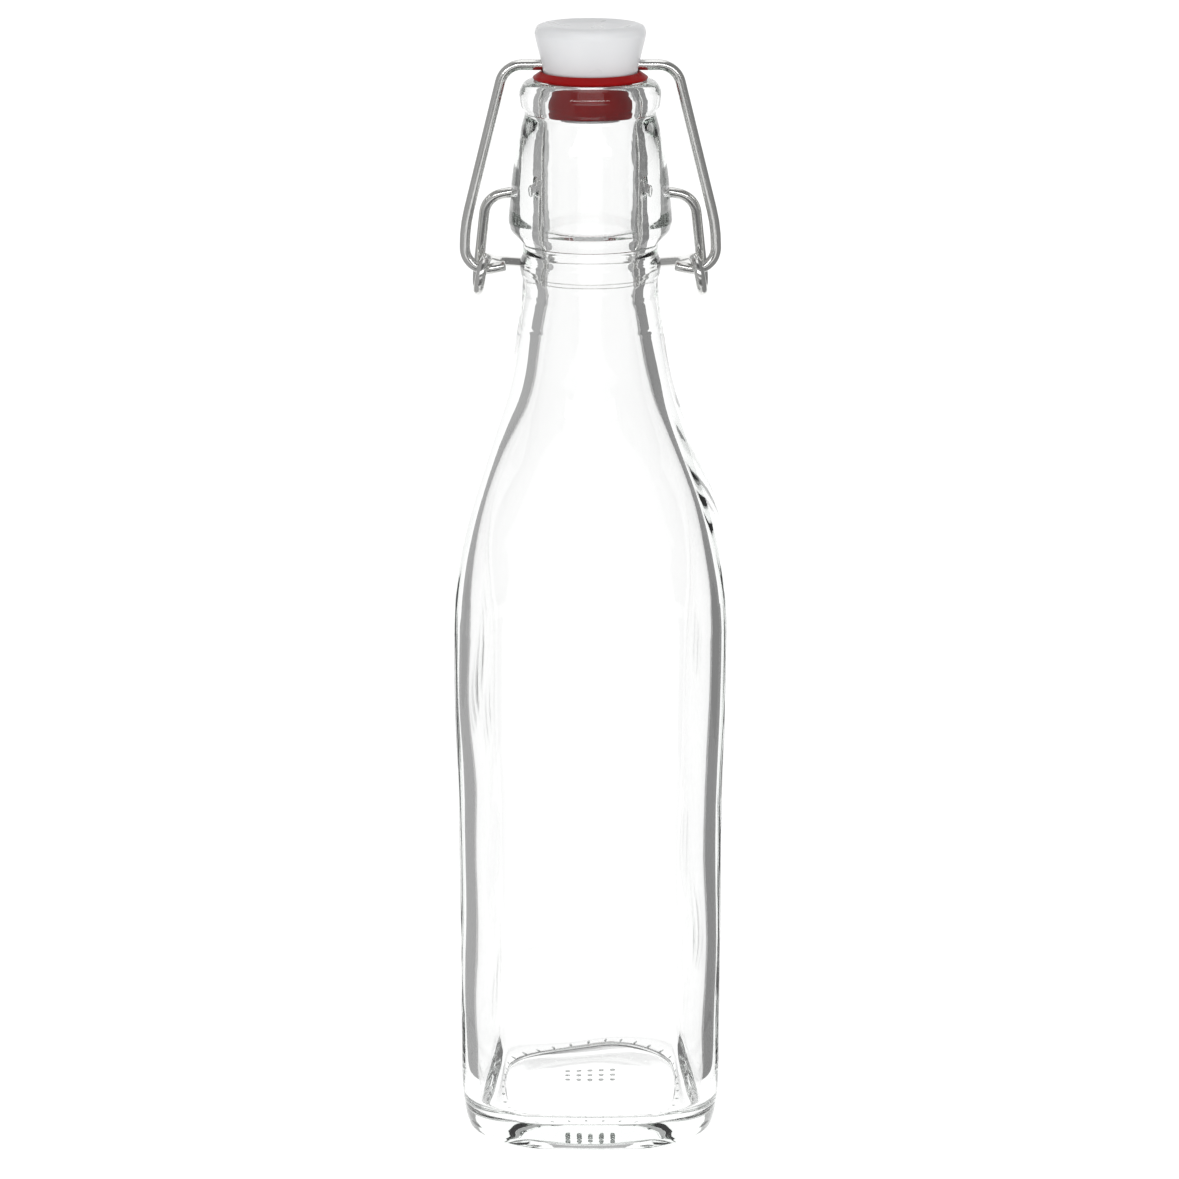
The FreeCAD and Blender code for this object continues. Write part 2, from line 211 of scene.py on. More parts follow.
@dataclass(frozen=True)
class DrawnSteel:
    """Stainless spring wire drawn through a die: bright, with fine lines along its length."""

    colours: tuple[str, str] = ("#DEDEDC", "#F2F2F0")
    roughness: Pair = (0.17, 0.25)
    line_width: float = 0.12 * MM
    line_length: float = 9 * MM
    line_height: float = 0.004 * MM

    def material(self) -> Material:
        """Build the steel with draw lines that follow the wire's own UV map."""
        material, tree, output = new_material("stainless_wire_bright_drawn")
        along = add_node(tree, "ShaderNodeUVMap", uv_map="wire")
        stretch = add_node(
            tree, "ShaderNodeMapping", {"Vector": (along, "UV")},
            {"Scale": (1 / self.line_length, 1 / self.line_width, 1.0)})
        lines = add_noise(tree, (stretch, "Vector"), 1.0, 3.0, 0.6)
        links = add_drift(tree, lines, self.colours, self.roughness)
        links["Normal"] = add_bump(tree, lines, 0.15, self.line_height)
        add_surface(tree, output, links, {"Metallic": 1.0})
        return material


@dataclass(frozen=True)
class MouldedSkin:
    """Opaque moulded material: faint clouds of tone and gloss under a fine grain."""

    name: str
    colours: tuple[str, str]
    roughness: Pair
    cloud: float
    cloud_detail: float
    grain: float
    grain_height: float
    grain_strength: float
    surface: dict[str, Any]

    def material(self) -> Material:
        """Build the material with its clouds and its grain."""
        material, tree, output = new_material(self.name)
        place = add_node(tree, "ShaderNodeTexCoord"), "Object"
        clouds = add_noise(tree, place, self.cloud, self.cloud_detail)
        links = add_drift(tree, clouds, self.colours, self.roughness)
        links["Normal"] = add_bump(
            tree, add_noise(tree, place, self.grain), self.grain_strength, self.grain_height)
        add_surface(tree, output, links, self.surface)
        return material


# White polypropylene, injection moulded: light sinks in a little and the skin has a soft gloss.
WHITE_PLASTIC = MouldedSkin(
    name="polypropylene_injection_moulded", colours=("#DEDFE1", "#E6E7E8"), roughness=(0.27, 0.40),
    cloud=7 * MM, cloud_detail=2.0, grain=0.35 * MM, grain_height=0.02 * MM, grain_strength=0.25,
    surface={"IOR": 1.49, "Subsurface Weight": 0.25, "Subsurface Radius": (1.0, 0.95, 0.9),
             "Subsurface Scale": 1.2 * MM})

# Red natural rubber, compression moulded: deep colour, dull skin with a faint bloom.
RED_RUBBER = MouldedSkin(
    name="red_rubber_compression_moulded", colours=("#900406", "#A40607"), roughness=(0.38, 0.55),
    cloud=4 * MM, cloud_detail=3.0, grain=0.3 * MM, grain_height=0.03 * MM, grain_strength=0.35,
    surface={"IOR": 1.52, "Specular IOR Level": 0.12})


@dataclass(frozen=True)
class FrostedMark:
    """Glass of the marks pressed into the base: finely pitted, so it scatters light and looks grey."""

    colour: str = "#D3D8D5"
    roughness: float = 0.3
    pit_size: float = 0.2 * MM
    pit_height: float = 0.02 * MM

    def material(self) -> Material:
        """Build the frosted glass with its pitted skin."""
        material, tree, output = new_material("flint_glass_pressed_marks")
        place = add_node(tree, "ShaderNodeTexCoord"), "Object"
        pits = add_bump(tree, add_noise(tree, place, self.pit_size), 0.5, self.pit_height)
        add_surface(
            tree, output, {"Normal": pits},
            {"Base Color": linear(self.colour), "Roughness": self.roughness,
             "IOR": 1.52, "Transmission Weight": 0.8})
        return material


# ---------------------------------------------------------------- meshes


def make_object(name: str, points: np.ndarray, faces: Iterable[Sequence[int]],
                material: Material) -> Object:
    """Make a smooth mesh object at the origin.

    Args:
        name: Name of the object and its mesh.
        points: Vertex places in metres.
        faces: Vertex numbers of each face, turning outwards.
        material: Material of every face.

    Returns:
        The linked object.
    """
    mesh = bpy.data.meshes.new(name)
    mesh.from_pydata([tuple(p) for p in points], [], [tuple(f) for f in faces])
    mesh.materials.append(material)
    mesh.shade_smooth()
    mesh.validate()
    piece = bpy.data.objects.new(name, mesh)
    bpy.context.scene.collection.objects.link(piece)
    return piece


def capped_tube(rings: np.ndarray, start: Sequence[float],
                end: Sequence[float]) -> tuple[np.ndarray, list[tuple[int, ...]]]:
    """Points and faces of rings that close on a pole at each end.

    Args:
        rings: Array of ring, vertex, coordinate.
        start: Pole before the first ring.
        end: Pole after the last ring.

    Returns:
        Points of the rings and then of the two poles, and faces that turn outwards.
    """
    count, around, _ = rings.shape
    sides = [(step, (step + 1) % around) for step in range(around)]
    faces = [(low + step, low + ahead, low + around + ahead, low + around + step)
             for low in range(0, (count - 1) * around, around) for step, ahead in sides]
    first_pole, last_pole, last = count * around, count * around + 1, (count - 1) * around
    for step, ahead in sides:
        faces.append((first_pole, ahead, step))
        faces.append((last_pole, last + step, last + ahead))
    return np.vstack([rings.reshape(-1, 3), [start, end]]), faces


def rounded_path(places: Sequence[np.ndarray], radii: Sequence[float],
                 steps: Callable[[float, float], int]) -> np.ndarray:
    """Follow straight runs between corners, each corner rounded by a tangent arc.

    Args:
        places: Corners in two or three dimensions.
        radii: Radius of each corner between the ends; none keeps the corner.
        steps: Number of steps of an arc, from its radius and its turn.

    Returns:
        Points of the open path.
    """
    points = [places[0]]
    for before, corner, after, radius in zip(places, places[1:], places[2:], radii):
        inward = (corner - before) / np.linalg.norm(corner - before)
        outward = (after - corner) / np.linalg.norm(after - corner)
        turn = math.acos(max(-1.0, min(1.0, float(inward @ outward))))
        if radius <= 0 or turn < 1e-4:
            points.append(corner)
            continue
        start = corner - inward * radius * math.tan(turn / 2)
        across = outward - inward * math.cos(turn)
        across /= np.linalg.norm(across)
        count = steps(radius, turn)
        for angle in turn * np.arange(count + 1) / count:
            points.append(
                start + inward * radius * math.sin(angle) + across * radius * (1 - math.cos(angle)))
    points.append(places[-1])
    return np.array(points)


def rounded_outline(corners: Sequence[Point], spacing: float) -> np.ndarray:
    """Round the corners of an outline, each by its own radius.

    Args:
        corners: (across, height, radius) of each corner; the ends need no radius.
        spacing: Largest distance between points along an arc.

    Returns:
        Points of the open outline.
    """
    places = [np.array(c[:2], float) for c in corners]
    radii = [c[2] for c in corners[1:-1]]
    return rounded_path(places, radii, lambda radius, turn: max(3, math.ceil(radius * turn / spacing)))


def turn_angles(around: int) -> np.ndarray:
    """Angles of vertices spread evenly over a turn."""
    return np.arange(around) * TAU / around


def in_mm(*rows: Sequence[float]) -> list[tuple[float, ...]]:
    """Turn rows of millimetres into metres."""
    return [tuple(value * MM for value in row) for row in rows]


def divided(outline: np.ndarray, spacing: Callable[..., float]) -> np.ndarray:
    """Add points on long runs of an outline.

    Args:
        outline: Points of an open outline in two or three dimensions.
        spacing: Longest step allowed at a place.

    Returns:
        The outline with its long runs divided.
    """
    points = [outline[0]]
    for before, after in zip(outline, outline[1:]):
        length = float(np.linalg.norm(after - before))
        parts = max(1, math.ceil(length / spacing(*((before + after) / 2))))
        points.extend(before + (after - before) * (i + 1) / parts for i in range(parts))
    return np.array(points)


def lathe(name: str, outline: np.ndarray, around: int,
          material: Material) -> Object:
    """Turn an outline about the Z axis; its two ends lie on the axis.

    Args:
        name: Name of the piece.
        outline: Points (radius, height) from the lower pole round the outside to the upper pole.
        around: Number of vertices in a turn.
        material: Material of the piece.

    Returns:
        The linked object.
    """
    angles = turn_angles(around)
    circle = np.stack([np.cos(angles), np.sin(angles)], axis=1)
    inner = outline[1:-1]
    rings = np.empty((len(inner), around, 3))
    rings[:, :, :2] = inner[:, None, :1] * circle[None]
    rings[:, :, 2] = inner[:, 1, None]
    skin = capped_tube(rings, (0, 0, outline[0][1]), (0, 0, outline[-1][1]))
    return make_object(name, *skin, material)


def lathe_ring(name: str, outline: np.ndarray, around: int,
               material: Material) -> Object:
    """Turn a closed outline about the Z axis into a ring.

    Args:
        name: Name of the piece.
        outline: Points (radius, height), counter-clockwise, the first not repeated.
        around: Number of vertices in a turn.
        material: Material of the piece.

    Returns:
        The linked object.
    """
    angles = turn_angles(around)
    count = len(outline)
    points = [(r * math.cos(a), r * math.sin(a), z) for a in angles for r, z in outline]
    faces = []
    for turn in range(around):
        here, ahead = turn * count, (turn + 1) % around * count
        for step in range(count):
            after = (step + 1) % count
            faces.append((here + step, ahead + step, ahead + after, here + after))
    return make_object(name, np.array(points), faces, material)


def cut(piece: Object, cutter: Object, sharp_angle: float) -> None:
    """Cut one closed mesh out of another and keep the edges of the cut crisp.

    Args:
        piece: Object that loses the volume.
        cutter: Object that is removed afterwards.
        sharp_angle: Edges that turn more than this stay sharp.
    """
    modifier = piece.modifiers.new("cut", "BOOLEAN")
    modifier.operation = "DIFFERENCE"
    modifier.solver = "EXACT"
    modifier.object = cutter
    graph = bpy.context.evaluated_depsgraph_get()
    mesh = bpy.data.meshes.new_from_object(piece.evaluated_get(graph))
    piece.modifiers.clear()
    mesh.name = piece.name
    piece.data = mesh
    mesh.shade_smooth()
    mesh.set_sharp_from_angle(angle=sharp_angle)
    cutter_mesh = cutter.data
    bpy.data.objects.remove(cutter)
    bpy.data.meshes.remove(cutter_mesh)


def settle(piece: Object, body: Body, slot: Slot, *nodes: str) -> None:
    """Let a finished piece ride on its body and stand for CAD nodes.

    Args:
        piece: The finished piece.
        body: Body that it moves with.
        slot: Record slot of its finish; not used.
        nodes: CAD nodes that it replaces.
    """
    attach(piece, body.value)
    if nodes:
        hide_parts(*nodes)
    log.info("%s rides on %s with %d faces", piece.name, body.value, len(piece.data.polygons))


# ---------------------------------------------------------------- bottle


def square_loop(half_width: float, corner_radius: float, face_radius: float, steps: int) -> np.ndarray:
    """Closed loop of four bowed faces and four corner arcs, all tangent.

    Args:
        half_width: Distance from the axis to the middle of a face.
        corner_radius: Radius of the corner arcs.
        face_radius: Radius of the bowed faces.
        steps: Steps along each face and along each corner.

    Returns:
        8 * steps points, counter-clockwise from the +X face's lower end.
    """
    bow = face_radius - half_width
    reach = face_radius - corner_radius
    corner = (math.sqrt(max(2 * reach**2 - bow**2, 0.0)) - bow) / 2
    split = math.atan2(corner, corner + bow) if bow > 1e-9 else TAU / 16
    share = np.arange(steps) / steps
    face = -split + 2 * split * share
    bend = split + (TAU / 4 - 2 * split) * share
    quarter = np.vstack([
        np.stack([-bow + face_radius * np.cos(face), face_radius * np.sin(face)], axis=1),
        np.stack([corner + corner_radius * np.cos(bend), corner + corner_radius * np.sin(bend)], axis=1)])
    turns = [quarter]
    for _ in range(3):
        last = turns[-1]
        turns.append(np.stack([-last[:, 1], last[:, 0]], axis=1))
    return np.vstack(turns)


def eased(value: float, start: float, end: float) -> float:
    """Share of the way from start to end, with a level start and end."""
    share = min(max((value - start) / (end - start), 0.0), 1.0)
    return share * share * (3 - 2 * share)


# Corners of the neck's outside, from the foot of the bead over the bulge to the lip.
NECK_CORNERS = in_mm(
    (15.4, 206.2, 4), (15.9, 207.4, 1.0), (16.1, 208.9, 1.6), (15.9, 210.4, 1.0),
    (15.3, 211.8, 1.0), (15.4, 214.4, 1.6), (18.1, 217.3, 1.2), (18.6, 219.4, 2.0),
    (17.75, 229.0, 40), (16.6, 236.6, 30), (14.7, 243.6, 0.8), (15.6, 245.2, 2.0),
    (16.05, 248.3, 3.0), (14.9, 250.6, 1.6), (13.2, 251, 2.2), (12.6, 251, 0))

# Half of a pivot dimple: (across, radius, rounding) from its blind end to its flared mouth.
DIMPLE_CORNERS = in_mm(
    (12.7, 0, 0), (12.7, 1.26, 0.4), (16.2, 1.26, 0.5), (19.4, 3.42, 0), (19.4, 0, 0))


@dataclass
class BottleGlass:
    """The bottle: one closed shell of glass, outside and inside, from base to lip."""

    half_width: float = 31.5 * MM
    flared: float = 32.1 * MM
    flare_start: float = 84 * MM
    flare_end: float = 112 * MM
    corner_radius: float = 11.0 * MM
    bow_radius: float = 260 * MM
    wall: float = 3.4 * MM
    neck_wall: float = 5.4 * MM
    heel_radius: float = 2.4 * MM
    taper_height: float = 20 * MM
    taper_depth: float = 1.7 * MM
    base_corner: float = 8.0 * MM
    floor_corner: float = 10.0 * MM
    push_up: float = 24.0 * MM
    stand: float = 0.25 * MM
    floor: float = 6.0 * MM
    floor_fillet: float = 6.0 * MM
    shoulder_start: float = 134 * MM
    shoulder_radius: float = 66.1 * MM
    slope: float = math.radians(20.6)
    slope_end: float = 176 * MM
    throat_radius: float = 60 * MM
    neck_slope: float = math.radians(8.8)
    rounding_start: float = 128 * MM
    round_from: float = 194 * MM
    neck_join: float = 201 * MM
    bore: float = 10.7 * MM
    throat_bore: float = 10.3 * MM
    rim: float = 251 * MM
    lip_radius: float = 2.0 * MM
    pivot: float = 225.7 * MM
    uneven_depth: float = 0.16 * MM
    dimple_around: int = 40
    steps: int = 22
    crowding: Pair = (0.36, 0.44)
    strides: tuple[Pair, ...] = (
        (16 * MM, 1.0 * MM), (126 * MM, 3.0 * MM), (202 * MM, 1.2 * MM), (math.inf, 0.5 * MM))

    def outside(self, height: float) -> float:
        """Half-width of the outside at a height, without the rounded bottom edge."""
        arc_end = self.shoulder_start + self.shoulder_radius * math.sin(self.slope)
        arc_drop = self.shoulder_radius * (1 - math.cos(self.slope))
        throat_end = self.slope_end + self.throat_radius * (
            math.sin(self.slope) - math.sin(self.neck_slope))
        taper = self.taper_depth * self.heel_share(height)
        if height <= self.shoulder_start:
            flare = (self.flared - self.half_width) * eased(height, self.flare_start, self.flare_end)
            return self.half_width + flare - taper
        if height <= arc_end:
            rise = height - self.shoulder_start
            return self.flared - self.shoulder_radius + math.sqrt(self.shoulder_radius**2 - rise**2)
        if height <= self.slope_end:
            return self.flared - arc_drop - (height - arc_end) * math.tan(self.slope)
        foot = self.flared - arc_drop - (self.slope_end - arc_end) * math.tan(self.slope)
        centre = foot + self.throat_radius * math.cos(self.slope)
        swing = math.sin(self.slope) - (min(height, throat_end) - self.slope_end) / self.throat_radius
        throat = centre - self.throat_radius * math.sqrt(1 - swing**2)
        return throat - max(height - throat_end, 0.0) * math.tan(self.neck_slope)

    def heel_share(self, height: float) -> float:
        """Share of the heel's taper left at a height."""
        return max(1 - height / self.taper_height, 0.0) ** 2

    def roundness(self, height: float) -> float:
        """How far the section has gone from square, 0, to round, 1."""
        return eased(height, self.rounding_start, self.round_from)

    def inside(self, height: float) -> float:
        """Half-width of the hollow at a height, above the floor's fillet."""
        share = (height - self.rounding_start) / (self.neck_join - self.rounding_start)
        share = min(max(share, 0.0), 1.0)
        return self.outside(height) - self.wall - (self.neck_wall - self.wall) * share

    def outer_outline(self) -> np.ndarray:
        """Outline of the outside from the middle of the base to the lip."""
        heel_half = self.outside(self.heel_radius)
        base = rounded_outline([
            (0, 2.2 * MM, 0),
            (12 * MM, 1.8 * MM, 60 * MM),
            (self.push_up - 0.9 * MM, 0.95 * MM, 1.0 * MM),
            (self.push_up, self.stand, 0.7 * MM),
            (heel_half - 0.1 * MM, self.stand, self.heel_radius),
            (heel_half, self.heel_radius + 3 * MM, 0),
        ], 0.35 * MM)[:-1]
        sides = [(self.outside(h), h)
                 for h in np.arange(self.heel_radius + 3 * MM, self.neck_join, 1.2 * MM)]
        neck = rounded_outline(
            [(self.outside(self.neck_join), self.neck_join, 0), *NECK_CORNERS], 0.3 * MM)
        return np.vstack([base, sides, neck])

    def inner_outline(self) -> np.ndarray:
        """Outline of the hollow from the lip down to the middle of the floor."""
        lip_centre = self.bore + self.lip_radius
        lip = rounded_outline([
            (lip_centre, self.rim, 0),
            (self.bore, self.rim, self.lip_radius),
            (self.bore, 238 * MM, 30 * MM),
            (self.throat_bore, 206 * MM, 60 * MM),
            (self.inside(self.neck_join), self.neck_join, 0),
        ], 0.35 * MM)
        above_floor = self.floor + self.floor_fillet
        sides = [(self.inside(h), h)
                 for h in np.arange(self.neck_join - 1.2 * MM, above_floor + 4 * MM, -1.2 * MM)]
        edge = self.inside(above_floor)
        floor = rounded_outline([
            (self.inside(above_floor + 3 * MM), above_floor + 3 * MM, 0),
            (edge - 0.1 * MM, self.floor, self.floor_fillet),
            (14 * MM, self.floor + 0.2 * MM, 40 * MM),
            (0, self.floor + 0.5 * MM, 0),
        ], 0.4 * MM)
        return np.vstack([lip, sides, floor])

    def ring(self, half_width: float, height: float, hollow: bool) -> np.ndarray:
        """Vertices of one level of the outside or the hollow."""
        share = self.roundness(height)
        square = self.corner_radius + self.base_corner * self.heel_share(height)
        shrink = 1.0
        if hollow:
            square = self.corner_radius - self.wall / 2 + self.floor_corner * self.heel_share(height)
            full = self.inside(max(height, self.floor + self.floor_fillet))
            shrink = min(half_width / (full - 3 * MM), 1.0) if height < self.floor + 1.5 * MM else 1.0
        elif height < self.heel_radius:
            share = 1 - min(max((half_width - self.push_up) / (3 * MM), 0.0), 1.0)
        corner = square * shrink * (1 - share) + half_width * share
        bow = 1 / ((1 - share) / (self.bow_radius * shrink) + share / half_width)
        loop = square_loop(half_width, min(corner, half_width), max(bow, half_width), self.steps)
        return np.column_stack([loop, np.full(len(loop), height)])

    def spacing(self, across: float, height: float) -> float:
        """Longest step along the outline: short at the base and neck, long on the straight sides."""
        return next(stride for limit, stride in self.strides if height < limit)

    def thinned(self, outline: np.ndarray) -> np.ndarray:
        """Drop points that crowd the one before them, a little less strictly below the neck."""
        below, on_neck = self.crowding
        kept = [outline[0]]
        for point in outline[1:-1]:
            share = on_neck if point[1] > self.strides[-2][0] else below
            if np.linalg.norm(point - kept[-1]) >= share * self.spacing(*point):
                kept.append(point)
        kept.append(outline[-1])
        return np.array(kept)

    def uneven(self, rings: np.ndarray) -> np.ndarray:
        """Let the blown inner wall wander a little, as it does where no mould touches it."""
        x, y, z = rings[..., 0], rings[..., 1], rings[..., 2]
        calm = np.clip((z - 14 * MM) / (16 * MM), 0, 1) * np.clip((196 * MM - z) / (20 * MM), 0, 1)
        angle = np.arctan2(y, x)
        wander = (
            np.sin(z / (17 * MM) + 2 * angle)
            + 0.7 * np.sin(z / (9.5 * MM) - 3 * angle + 1.1)
            + 0.5 * np.sin(z / (6.1 * MM) + 5 * angle + 2.3))
        radius = np.hypot(x, y)
        scale = 1 + self.uneven_depth * wander * calm / np.maximum(radius, 1 * MM)
        return np.stack([x * scale, y * scale, z], axis=-1)

    def dimple_cutter(self, material: Material) -> Object:
        """Both pivot recesses as one closed shape along X."""
        half = rounded_outline(DIMPLE_CORNERS, 0.2 * MM)
        angles = turn_angles(self.dimple_around)
        points, faces = np.empty((0, 3)), []
        for side in (1, -1):
            rings = np.array([
                [(side * across, radius * math.cos(a), self.pivot + side * radius * math.sin(a))
                 for a in angles]
                for across, radius in half[1:-1]])
            poles = [(side * end[0], 0, self.pivot) for end in (half[0], half[-1])]
            more, skin = capped_tube(rings, *poles)
            faces.extend(tuple(len(points) + i for i in face) for face in skin)
            points = np.vstack([points, more])
        return make_object("dimples", points, faces, material)

    def build(self, material: Material) -> None:
        """Make the shell, cut the dimples and settle it on the bottle body."""
        outside = self.thinned(divided(self.outer_outline(), self.spacing))
        hollow = self.thinned(divided(self.inner_outline(), self.spacing))
        outer = np.array([self.ring(w, h, False) for w, h in outside[1:]])
        inner = self.uneven(np.array([self.ring(w, h, True) for w, h in hollow[1:-1]]))
        skin = capped_tube(
            np.vstack([outer, inner]), (0, 0, outside[0][1]), (0, 0, hollow[-1][1]))
        shell = make_object("bottle_glass", *skin, material)
        cut(shell, self.dimple_cutter(material), math.radians(40))
        settle(shell, Body.BOTTLE, Slot.CLEAR_GLASS, "glass_bottle")


class MarkLayout(Enum):
    """Ways to repeat a mark, each with the inputs only it has."""

    ROUND_RING = "round_ring"
    OVER_GRID = "over_grid"

    @property
    def own_inputs(self) -> tuple[tuple[str, str], ...]:
        """Name and kind of each input that only this layout has."""
        if self is MarkLayout.ROUND_RING:
            return (("Reach", "Float"),)
        return (("Columns", "Int"), ("Rows", "Int"))


def pressed_bar(name: str, length: float, width: float, height: float,
                material: Material) -> Object:
    """Low rounded bar along X, a few dozen faces, for Geometry Nodes to copy.

    Args:
        name: Name of the template.
        length: Size along X.
        width: Size along Y.
        height: Size along Z.
        material: Material of the bar.

    Returns:
        The template object.
    """
    around, along = 8, 5
    angles = turn_angles(around)
    stations = np.cos(np.linspace(math.pi, 0, along + 2))[1:-1]
    girths = np.sqrt(1 - stations**2)
    rings = np.array([
        [(s * length / 2, g * width / 2 * math.cos(a), g * height / 2 * math.sin(a)) for a in angles]
        for s, g in zip(stations, np.maximum(girths, 0.55))])
    skin = capped_tube(rings, (-length / 2, 0, 0), (length / 2, 0, 0))
    return make_object(name, *skin, material)


def mark_tree(layout: MarkLayout, template: Object,
              material: Material) -> NodeTree:
    """Geometry Nodes that repeat a mark round a circle or over a grid.

    Args:
        layout: Which of the two layouts.
        template: The mark that is copied.
        material: Material that the copies get.

    Returns:
        The tree, with inputs Pitch and Middle in metres, and Reach in metres or Columns and Rows.
    """
    tree = bpy.data.node_groups.new(f"marks_{layout.value}", "GeometryNodeTree")
    for name, kind in (("Geometry", "Geometry"), ("Pitch", "Float"), ("Middle", "Vector"),
                       *layout.own_inputs):
        tree.interface.new_socket(name, in_out="INPUT", socket_type=f"NodeSocket{kind}")
    tree.interface.new_socket("Geometry", in_out="OUTPUT", socket_type="NodeSocketGeometry")
    entry = tree.nodes.new("NodeGroupInput")
    copied = add_node(
        tree, "GeometryNodeObjectInfo", values={"Object": template}, transform_space="RELATIVE")
    if layout is MarkLayout.ROUND_RING:
        circle = add_node(
            tree, "GeometryNodeCurvePrimitiveCircle", {"Radius": (entry, "Reach")},
            {"Resolution": 96}, mode="RADIUS")
        spots = add_node(
            tree, "GeometryNodeResampleCurve", {"Curve": (circle, "Curve"), "Length": (entry, "Pitch")},
            mode="LENGTH")
        heading = add_node(tree, "GeometryNodeInputTangent")
        facing = add_node(
            tree, "FunctionNodeAlignRotationToVector", {"Vector": (heading, "Tangent")}, axis="Y",
            pivot_axis="Z")
        links: dict[Any, Link] = {
            "Points": (spots, "Curve"), "Instance": (copied, "Geometry"), "Rotation": (facing, "Rotation")}
    else:
        sizes = []
        for number in ("Columns", "Rows"):
            gaps = add_node(
                tree, "ShaderNodeMath", {0: (entry, number)}, {1: 1.0}, operation="SUBTRACT")
            sizes.append(add_node(
                tree, "ShaderNodeMath", {0: (gaps, "Value"), 1: (entry, "Pitch")}, operation="MULTIPLY"))
        grid = add_node(
            tree, "GeometryNodeMeshGrid",
            {"Size X": (sizes[0], "Value"), "Size Y": (sizes[1], "Value"),
             "Vertices X": (entry, "Columns"), "Vertices Y": (entry, "Rows")})
        links = {"Points": (grid, "Mesh"), "Instance": (copied, "Geometry")}
    placed = add_node(tree, "GeometryNodeInstanceOnPoints", links)
    moved = add_node(
        tree, "GeometryNodeTransform",
        {"Geometry": (placed, "Instances"), "Translation": (entry, "Middle")})
    real = add_node(tree, "GeometryNodeRealizeInstances", {"Geometry": (moved, "Geometry")})
    dressed = add_node(
        tree, "GeometryNodeSetMaterial", {"Geometry": (real, "Geometry")}, {"Material": material})
    add_node(tree, "NodeGroupOutput", {"Geometry": (dressed, "Geometry")})
    return tree


def grown(name: str, tree: NodeTree, inputs: dict[str, Any],
          template: Object) -> Object:
    """Run a Geometry Nodes tree and keep the plain mesh that it makes.

    Args:
        name: Name of the new piece.
        tree: The Geometry Nodes tree.
        inputs: Value of each named input.
        template: Object that the tree copies; removed afterwards.

    Returns:
        The new piece.
    """
    seed = bpy.data.objects.new("seed", bpy.data.meshes.new("seed"))
    bpy.context.scene.collection.objects.link(seed)
    modifier = seed.modifiers.new("grow", "NODES")
    modifier.node_group = tree
    for item in tree.interface.items_tree:
        if item.in_out == "INPUT" and item.name in inputs:
            modifier[item.identifier] = inputs[item.name]
    graph = bpy.context.evaluated_depsgraph_get()
    mesh = bpy.data.meshes.new_from_object(seed.evaluated_get(graph))
    mesh.name = name
    mesh.shade_smooth()
    seed.modifiers.clear()
    for spare in (seed, template):
        data = spare.data
        bpy.data.objects.remove(spare)
        bpy.data.meshes.remove(data)
    piece = bpy.data.objects.new(name, mesh)
    bpy.context.scene.collection.objects.link(piece)
    return piece


@dataclass
class BaseMarks:
    """Marks pressed into the base: bearing bars round the standing ring and a plain grid of dots."""

    ring_radius: float = 25.7 * MM
    pitch: float = 4.2 * MM
    bar: Point = (1.9 * MM, 0.62 * MM, 0.48 * MM)
    dot: Point = (1.2 * MM, 1.2 * MM, 0.5 * MM)
    dot_pitch: float = 2.7 * MM
    columns: int = 5
    rows: int = 3
    dot_middle: Point = (0.0, 4.6 * MM, 2.1 * MM)

    def build(self, material: Material) -> None:
        """Grow the bars and the dots and settle them."""
        self.repeat("base_bearing_bars", MarkLayout.ROUND_RING, self.bar, material, {
            "Pitch": self.pitch, "Middle": (0.0, 0.0, self.bar[2] / 2), "Reach": self.ring_radius})
        self.repeat("base_cavity_dots", MarkLayout.OVER_GRID, self.dot, material, {
            "Pitch": self.dot_pitch, "Middle": self.dot_middle,
            "Columns": self.columns, "Rows": self.rows})

    def repeat(self, name: str, layout: MarkLayout, size: Point, material: Material,
               inputs: dict[str, Any]) -> None:
        """Grow one pattern of marks and settle it on the bottle."""
        template = pressed_bar("template", *size, material)
        marks = grown(name, mark_tree(layout, template, material), inputs, template)
        settle(marks, Body.BOTTLE, Slot.CLEAR_GLASS)


# ---------------------------------------------------------------- closure


